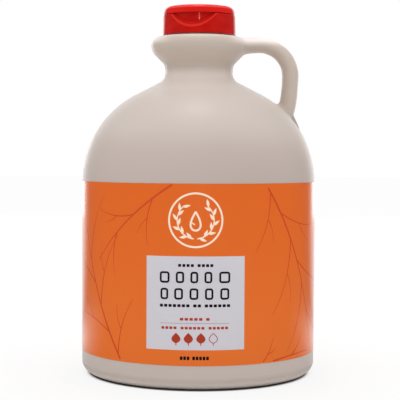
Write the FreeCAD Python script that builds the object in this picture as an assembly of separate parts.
"""Half-gallon syrup jug: a blow-moulded jug with a loop handle, a wrap label and a flip-top cap.

Millimetres, +Z up. The origin is the centre of the base, on the plane that the jug stands on.
The handle's loop lies in the XZ plane on the +X side, and -Y is the front.
The jug is shut and opaque, so it is one solid out to its moulded surface.
"""

import FreeCAD
import Part

import math
import os

# ---- driving dimensions -----------------------------------------------------------------------

# body of the jug
BODY_R = 65.8  # outside radius of the straight wall
WALL_H = 107.2  # height at which the straight wall ends and the shoulder begins
HEEL_R = 6.5  # rounding from the wall to the foot ring
FOOT_W = 10.5  # width of the flat ring that the jug stands on
PUSH_UP = 4.5  # rise of the hollow in the base
SHOULDER_R = 55.4  # radius of the shoulder's arc
SHOULDER_DEG = 63.0  # turn of that arc, after which the shoulder runs straight to the neck

# neck: a waist with a round collar above it
WAIST_R = 18.9
COLLAR_OUT = 8.05  # how far the collar stands out from the waist
WAIST_FILLET = 5.6  # hollow rounding from the shoulder into the waist
WAIST_H = 2.5  # straight length of the waist
FLARE_FILLET = 5.5  # hollow rounding from the waist into the collar's underside
FLARE_DEG = 45.0  # slope of that underside from the vertical
COLLAR_ROUND = 7.7  # rounding of the collar's underside
LIP_ROUND = 4.6  # rounding of the collar's upper edge

# neck finish under the cap, left plain
FINISH_R = 17.4
FINISH_H = 9.1

# handle: a level arm from the collar, a bend, and an upright that leans in to the shoulder
HANDLE_INSET = 9.5  # how far the loop stays inside the body's wall
HANDLE_W = 9.0  # thickness of the upright, in the loop's plane
ARM_W = 8.0  # thickness of the arm, in the loop's plane
HANDLE_DEPTH = 13.0  # thickness across the loop's plane
BEND_R = 17.3  # centreline radius of the bend
LEAN_R = 87.0  # centreline radius of the upright's lean
ARM_DROP = 0.4  # how far the arm's top lies below the collar's
HANDLE_SINK = 6.0  # how far the upright's end runs into the shoulder
ROOT_FLARE = 1.6  # extra thickness of the arm's underside at the collar
ROOT_SPREAD = 4.5  # extra half depth of the arm at the collar
ROOT_RUN = 3.2  # length over which both of them fade
ROOT_FILLET = 3.0  # hollow rounding where the arm meets the collar
FOOT_FILLET = 1.8  # hollow rounding where the upright meets the shoulder

# fin left at the mould's parting, down the shoulder from the handle's foot
FIN_T = 0.8
FIN_RISE = 2.2  # its height above the shoulder, at the handle
FIN_RUN = 9.6  # length of shoulder over which it fades

# label
LABEL_FOOT = 13.2  # height of the label's lower edge
LABEL_HEAD = 0.6  # how far its upper edge runs past the straight wall
LABEL_T = 0.15
LABEL_GLUE = 0.05  # film of glue under the label, and between the ends that overlap
LABEL_LAP_DEG = 6.0  # overlap of the two ends
LABEL_RAMP_DEG = 1.5  # arc over which the upper end climbs over the lower one
LABEL_SEAM_DEG = 132.0  # where the upper end lies, from +X towards +Y

# cap
CAP_TURN_DEG = -11.0  # turn of the thumb hollow away from the front, to the left
CAP_FIT = 0.25  # clearance between the cap's bore and the neck finish
SKIRT_WALL = 2.7  # thickness of the skirt at the parting with the lid
SKIRT_DRAFT = 0.4  # how much wider the skirt is at its lower edge
SKIRT_H = 11.2
SKIRT_EDGE = 0.4  # rounding of the skirt's two outer edges
DECK_T = 2.9  # thickness of the cap's deck over the neck finish
LID_LAND = 1.6  # width of the rim in the deck that the lid doesn't touch
LID_GAP = 0.3  # height of the parting line between skirt and lid
LID_STEP = 0.25  # how far the lid's lower edge stands inside the skirt's top
LID_EDGE = 0.3  # rounding of that edge
LID_H = 4.5  # height of the lid's side, from its lower edge to its top
LID_BOW_R = 6.5  # radius of the bowed side
LID_ROUND = 2.6  # rounding from the side to the top
LID_CROWN = 0.5  # rise of the lid's top at its centre
THUMB_HALF_DEG = 40.0  # half the arc that the thumb hollow takes from the parting
THUMB_H = 7.2  # height of the thumb hollow
THUMB_EDGE = 0.5  # rounding where the floor of the hollow meets the skirt
THUMB_WALL = 0.7  # thickness of the skirt behind the hollow, where its floor ends at a round wall
HINGE_SET = 1.0  # depth of the hinge flat at the back
HINGE_LOW = 4.0  # reach of that flat below the parting
HINGE_HIGH = 2.6  # its reach above the parting
STRAP_W = 3.0  # width of each of the hinge's two straps
STRAP_SPACING = 6.4  # distance between their centres
STRAP_T = 0.7
STRAP_ROUND = 0.3  # rounding of the straps' outer edges

V = FreeCAD.Vector
ORIGIN = V(0, 0, 0)
UP = V(0, 0, 1)


# ---- small helpers ----------------------------------------------------------------------------

def at(r, z):
    """A point in the XZ plane."""
    return V(r, 0, z)


def on_arc(centre, radius, deg):
    """A point on a circle in the XZ plane, with its angle measured from +X towards +Z."""
    turn = math.radians(deg)
    return centre + V(radius * math.cos(turn), 0, radius * math.sin(turn))


def arc(centre, radius, from_deg, to_deg):
    """An arc in the XZ plane, as the three points that fix it."""
    return [on_arc(centre, radius, deg) for deg in (from_deg, (from_deg + to_deg) / 2, to_deg)]


def outline(*pieces):
    """A closed wire through corner points and arcs, in order, with straight lines between them."""
    edges = []
    here = pieces[-1][-1] if isinstance(pieces[-1], list) else pieces[-1]
    for piece in pieces:
        start = piece[0] if isinstance(piece, list) else piece
        if here.distanceToPoint(start) > 1e-6:
            edges.append(Part.LineSegment(here, start).toShape())
        if isinstance(piece, list):
            edges.append(Part.Arc(*piece).toShape())
        here = piece[-1] if isinstance(piece, list) else piece
    return Part.Wire(edges)


def turned(*pieces):
    """The solid that a closed outline sweeps round the Z axis."""
    return Part.Face(outline(*pieces)).revolve(ORIGIN, UP, 360)


def centred_box(width, depth, height, y, z):
    """A box centred on X = 0, whose Y and Z start at y and z."""
    return Part.makeBox(width, depth, height, V(-width / 2, y, z))


# ---- heights and centres that the jug's outline and its other pieces share ----------------------

slope = math.radians(SHOULDER_DEG)
shoulder_centre = at(BODY_R - SHOULDER_R, WALL_H)
slope_foot = on_arc(shoulder_centre, SHOULDER_R, SHOULDER_DEG)

waist_centre_r = WAIST_R + WAIST_FILLET
slope_run = waist_centre_r - slope_foot.x
waist_z = slope_foot.z + (WAIST_FILLET - slope_run * math.cos(slope)) / math.sin(slope)

collar_r = WAIST_R + COLLAR_OUT
flare = math.radians(FLARE_DEG)
flare_z = waist_z + WAIST_H
flare_run = COLLAR_OUT - (FLARE_FILLET + COLLAR_ROUND) * (1 - math.cos(flare))
collar_z = flare_z + (FLARE_FILLET + COLLAR_ROUND) * math.sin(flare) + flare_run / math.tan(flare)
collar_top = collar_z + LIP_ROUND
finish_top = collar_top + FINISH_H

bore_r = FINISH_R + CAP_FIT
skirt_top_r = bore_r + SKIRT_WALL
skirt_foot_r = skirt_top_r + SKIRT_DRAFT
lid_r = skirt_top_r - LID_STEP
parting_z = finish_top + DECK_T
skirt_foot_z = parting_z - SKIRT_H


def shoulder_z(x):
    """Height of the shoulder's arc at a distance x from the axis."""
    return shoulder_centre.z + math.sqrt(SHOULDER_R ** 2 - (x - shoulder_centre.x) ** 2)


# ---- jug --------------------------------------------------------------------------------------

def jug_body():
    foot_out = BODY_R - HEEL_R
    foot_in = foot_out - FOOT_W
    dome_r = (foot_in ** 2 + PUSH_UP ** 2) / (2 * PUSH_UP)
    dome_half_deg = math.degrees(math.asin(foot_in / dome_r))
    return turned(
        arc(at(0, PUSH_UP - dome_r), dome_r, 90, 90 - dome_half_deg),
        arc(at(foot_out, HEEL_R), HEEL_R, -90, 0),
        arc(shoulder_centre, SHOULDER_R, 0, SHOULDER_DEG),
        arc(at(waist_centre_r, waist_z), WAIST_FILLET, 180 + SHOULDER_DEG, 180),
        arc(at(WAIST_R + FLARE_FILLET, flare_z), FLARE_FILLET, 180, 180 - FLARE_DEG),
        arc(at(collar_r - COLLAR_ROUND, collar_z), COLLAR_ROUND, -FLARE_DEG, 0),
        arc(at(collar_r - LIP_ROUND, collar_z), LIP_ROUND, 0, 90),
        at(FINISH_R, collar_top),
        at(FINISH_R, finish_top),
        at(0, finish_top),
    )


upright_x = BODY_R - HANDLE_INSET - HANDLE_W / 2
bend_centre = at(upright_x - BEND_R, collar_top - ARM_DROP - ARM_W / 2 - BEND_R)


def handle_section(centre, heading_deg, thickness, depth):
    """An oval wire square to the handle's centreline."""
    across = on_arc(ORIGIN, thickness / 2, heading_deg + 90)
    oval = Part.Ellipse(centre + V(0, depth / 2, 0), centre + across, centre)
    return Part.Wire([oval.toShape()])


def arm_sections():
    """The level arm, from inside the neck to the bend, thicker and wider at the collar."""
    start_x = WAIST_R / 2
    steps = 8
    for i in range(steps):
        x = start_x + (bend_centre.x - start_x) * i / steps
        fade = math.exp(-max(0.0, x - collar_r + ROOT_RUN) / ROOT_RUN)
        thickness = ARM_W + ROOT_FLARE * fade
        centre = at(x, collar_top - ARM_DROP - thickness / 2)
        yield handle_section(centre, 0, thickness, HANDLE_DEPTH + 2 * ROOT_SPREAD * fade)


def bend_sections():
    steps = 6
    for i in range(steps + 1):
        share = i / steps
        centre = on_arc(bend_centre, BEND_R, 90 - 90 * share)
        yield handle_section(centre, -90 * share, ARM_W + (HANDLE_W - ARM_W) * share, HANDLE_DEPTH)


def upright_sections():
    """The upright, on a wide arc that leans in until its end is inside the shoulder."""
    lean_centre = at(upright_x - LEAN_R, bend_centre.z)
    drop = bend_centre.z - shoulder_z(upright_x) + HANDLE_SINK
    lean_deg = math.degrees(math.asin(drop / LEAN_R))
    steps = 3
    for i in range(1, steps + 1):
        turn = lean_deg * i / steps
        yield handle_section(on_arc(lean_centre, LEAN_R, -turn), -90 - turn, HANDLE_W, HANDLE_DEPTH)


def handle():
    return Part.makeLoft([*arm_sections(), *bend_sections(), *upright_sections()], True, False)


def fin():
    """The moulding fin, which stands on the shoulder and fades down it from the handle."""
    top_deg = math.degrees(math.acos((upright_x - shoulder_centre.x) / SHOULDER_R))
    low_deg = top_deg - math.degrees(FIN_RUN / SHOULDER_R)
    crest = [
        on_arc(shoulder_centre, SHOULDER_R + FIN_RISE, top_deg),
        on_arc(shoulder_centre, SHOULDER_R + FIN_RISE / 2, (top_deg + low_deg) / 2),
        on_arc(shoulder_centre, SHOULDER_R, low_deg),
    ]
    root = arc(shoulder_centre, SHOULDER_R - FIN_RISE, low_deg, top_deg)
    return Part.Face(outline(crest, root)).extrude(V(0, FIN_T, 0)).translated(V(0, -FIN_T / 2, 0))


def jug():
    body = jug_body()
    grip = handle()
    joined = body.fuse(grip)

    def is_shared(edge, at_foot):
        middle = Part.Vertex(edge.valueAt((edge.FirstParameter + edge.LastParameter) / 2))
        on_both = all(middle.distToShape(solid)[0] < 1e-4 for solid in (body, grip))
        return on_both and at_foot == (middle.Z < bend_centre.z)

    for radius, at_foot in ((FOOT_FILLET, True), (ROOT_FILLET, False)):
        joined = joined.makeFillet(radius, [edge for edge in joined.Edges if is_shared(edge, at_foot)])
    return joined.fuse(fin())


# ---- label ------------------------------------------------------------------------------------

def label():
    """One band of film, wrapped once round the wall, whose upper end lies on its lower end."""
    inner = BODY_R + LABEL_GLUE
    lift = LABEL_T + LABEL_GLUE
    climb_deg = 360 - LABEL_RAMP_DEG

    def on(radius, deg):
        turn = math.radians(LABEL_SEAM_DEG + deg)
        return V(radius * math.cos(turn), radius * math.sin(turn), 0)

    def bow(radius, from_deg, to_deg):
        return [on(radius, deg) for deg in (from_deg, (from_deg + to_deg) / 2, to_deg)]

    lap_end = 360 + LABEL_LAP_DEG
    strip = outline(
        bow(inner, 0, climb_deg),
        bow(inner + lift, 360, lap_end),
        bow(inner + lift + LABEL_T, lap_end, 360),
        bow(inner + LABEL_T, climb_deg, 0),
    )
    height = WALL_H + LABEL_HEAD - LABEL_FOOT
    return Part.Face(strip).extrude(V(0, 0, height)).translated(V(0, 0, LABEL_FOOT))


# ---- cap --------------------------------------------------------------------------------------
# Both pieces are built with the thumb hollow to the front and the hinge at the back, then turned.

back_y = lid_r - HINGE_SET


def set_on_neck(shape):
    return shape.rotated(ORIGIN, UP, CAP_TURN_DEG)


def thumb_cutter():
    """The hollow: a floor that slants in and up to a round back wall, open at the parting."""
    reach = skirt_top_r * (1 - math.cos(math.radians(THUMB_HALF_DEG)))
    width = 2 * skirt_foot_r
    side = outline(
        V(0, reach - skirt_top_r, parting_z),
        V(0, -width, parting_z),
        V(0, -width, parting_z - THUMB_H * (width - skirt_top_r + reach) / reach),
    )
    wedge = Part.Face(side).extrude(V(width, 0, 0)).translated(V(-width / 2, 0, 0))
    return wedge.cut(Part.makeCylinder(bore_r + THUMB_WALL, SKIRT_H, V(0, 0, skirt_foot_z)))


def hinge_flat():
    """What the hinge flat takes off the back of the skirt and the lid."""
    return centred_box(2 * skirt_foot_r, skirt_foot_r, HINGE_LOW + HINGE_HIGH, back_y, parting_z - HINGE_LOW)


def cap_shell():
    skirt = turned(
        at(bore_r, finish_top),
        at(bore_r, skirt_foot_z),
        arc(at(skirt_foot_r - SKIRT_EDGE, skirt_foot_z + SKIRT_EDGE), SKIRT_EDGE, -90, 0),
        arc(at(skirt_top_r - SKIRT_EDGE, parting_z - SKIRT_EDGE), SKIRT_EDGE, 0, 90),
        at(lid_r - LID_LAND, parting_z),
        at(lid_r - LID_LAND, parting_z + LID_GAP),
        at(0, parting_z + LID_GAP),
        at(0, finish_top),
    )
    hollowed = skirt.cut(thumb_cutter())

    def is_hollow_edge(edge):
        middle = edge.valueAt((edge.FirstParameter + edge.LastParameter) / 2)
        return abs(middle.x) < bore_r and middle.y < -skirt_top_r and skirt_foot_z + 1 < middle.z

    hollow_edges = [edge for edge in hollowed.Edges if is_hollow_edge(edge)]
    return set_on_neck(hollowed.makeFillet(THUMB_EDGE, hollow_edges).cut(hinge_flat()))


def hinge_strap(x):
    """One strap of the living hinge, which bridges the parting on the hinge flat."""
    height = HINGE_LOW + HINGE_HIGH - 2 * STRAP_T
    strap = centred_box(STRAP_W, STRAP_T, height, back_y, parting_z - HINGE_LOW + STRAP_T)
    outer = [edge for edge in strap.Edges if edge.BoundBox.YMin > back_y + STRAP_T / 2]
    return strap.makeFillet(STRAP_ROUND, outer).translated(V(x, 0, 0))


def cap_lid():
    foot = parting_z + LID_GAP
    bow_centre = at(lid_r - LID_BOW_R, foot + LID_EDGE)
    bow = math.asin((LID_H - LID_EDGE - LID_ROUND) / (LID_BOW_R - LID_ROUND))
    bow_deg = math.degrees(bow)
    round_centre = on_arc(bow_centre, LID_BOW_R - LID_ROUND, bow_deg)
    rim = on_arc(round_centre, LID_ROUND, 90)
    crown = at(0, rim.z + LID_CROWN)
    crown_r = (rim.x ** 2 + LID_CROWN ** 2) / (2 * LID_CROWN)
    crown_half_deg = math.degrees(math.asin(rim.x / crown_r))
    lid = turned(
        at(0, foot),
        arc(at(lid_r - LID_EDGE, foot + LID_EDGE), LID_EDGE, -90, 0),
        arc(bow_centre, LID_BOW_R, 0, bow_deg),
        arc(round_centre, LID_ROUND, bow_deg, 90),
        arc(crown - V(0, 0, crown_r), crown_r, 90 - crown_half_deg, 90),
    )
    hinged = lid.cut(hinge_flat())
    for side in (-1, 1):
        hinged = hinged.fuse(hinge_strap(side * STRAP_SPACING / 2))
    return set_on_neck(hinged)


# ---- the pieces -------------------------------------------------------------------------------

PIECES = {
    "jug": jug,
    "label": label,
    "cap_shell": cap_shell,
    "cap_lid": cap_lid,
}

os.makedirs("parts", exist_ok=True)
for name, make in PIECES.items():
    piece = make()
    piece.exportStep(f"parts/{name}.step")
    state = "valid" if piece.isValid() else "not valid"
    print(f"{name}: {len(piece.Solids)} solid, {state}, {piece.Volume / 1000:.2f} cm3")
